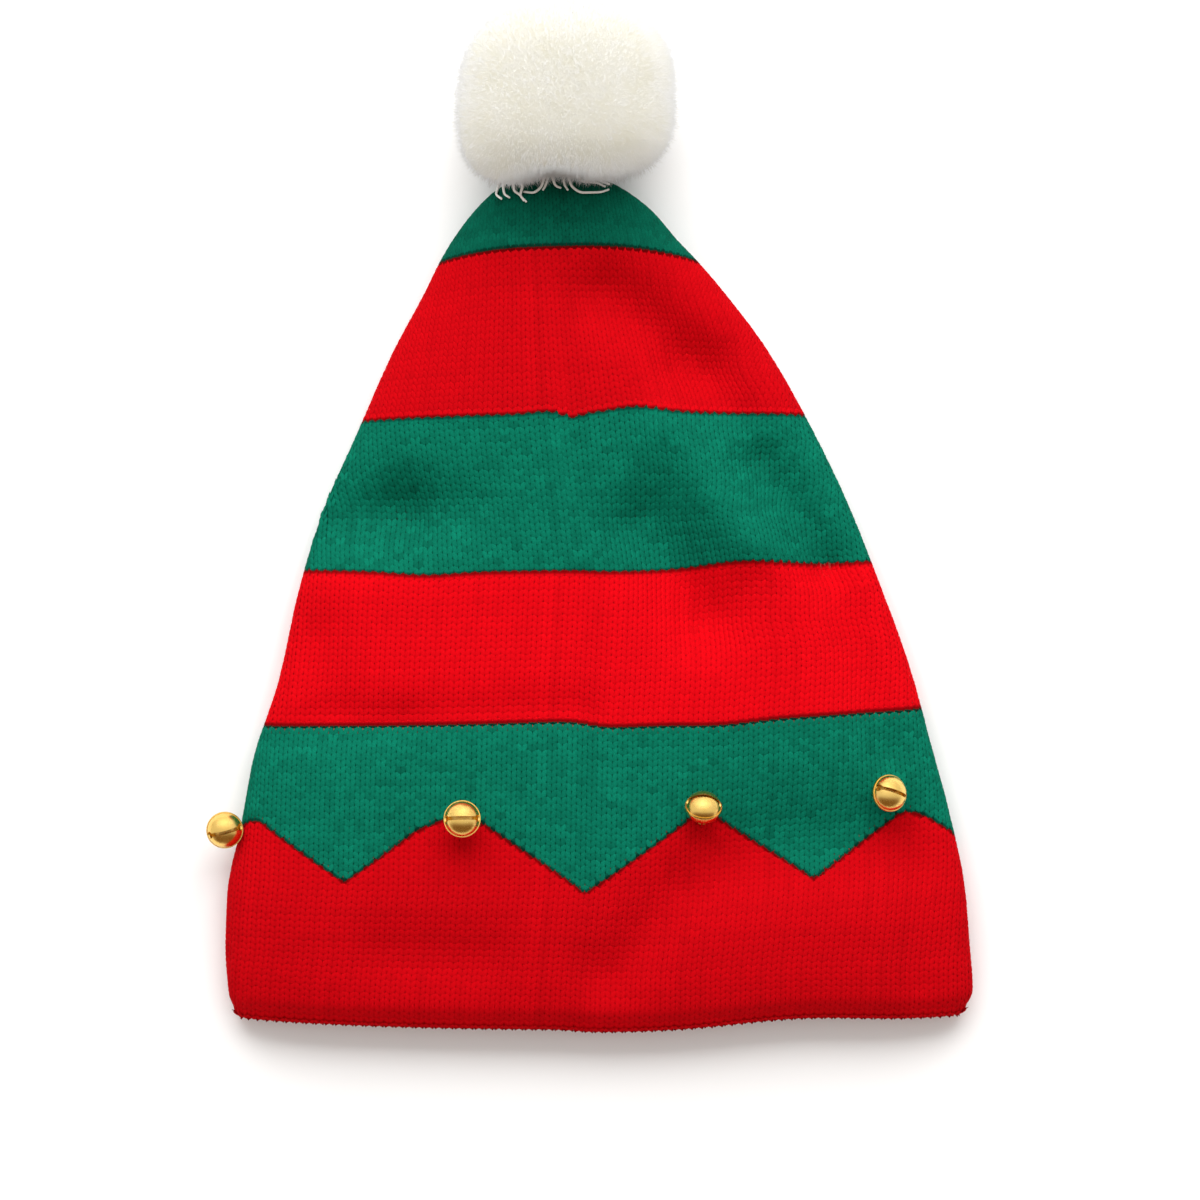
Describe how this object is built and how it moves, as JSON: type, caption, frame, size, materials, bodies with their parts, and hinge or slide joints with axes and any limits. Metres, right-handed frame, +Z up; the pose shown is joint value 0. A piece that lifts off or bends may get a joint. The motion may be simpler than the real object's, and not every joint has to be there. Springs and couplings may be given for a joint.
{
  "type": "christmas beanie",
  "caption": "Knitted christmas beanie in red and green stripes, with a zigzag cuff, brass jingle bells and a white pompom, lying flat with its head opening free.",
  "frame": {"origin": "on the floor, under the middle of the whole object's box, with the hat lying on its back", "axes": "+Z up out of the face that shows, +Y from the hem towards the tip and the pompom, +X to the right as seen in the picture"},
  "size_m": [0.2576, 0.3422, 0.0545],
  "materials": {
    "red_yarn": "matte red acrylic yarn in fine stocking stitch",
    "green_yarn": "matte green acrylic yarn in fine stocking stitch",
    "white_yarn": "fluffy off-white cut yarn",
    "brass": "polished gold-coloured brass"
  },
  "bodies": {
    "root": {"knit_crown": "red_yarn", "pompom": "white_yarn", "bell_1": "brass", "bell_2": "brass", "bell_3": "brass", "bell_4": "brass"}
  },
  "joints": []
}
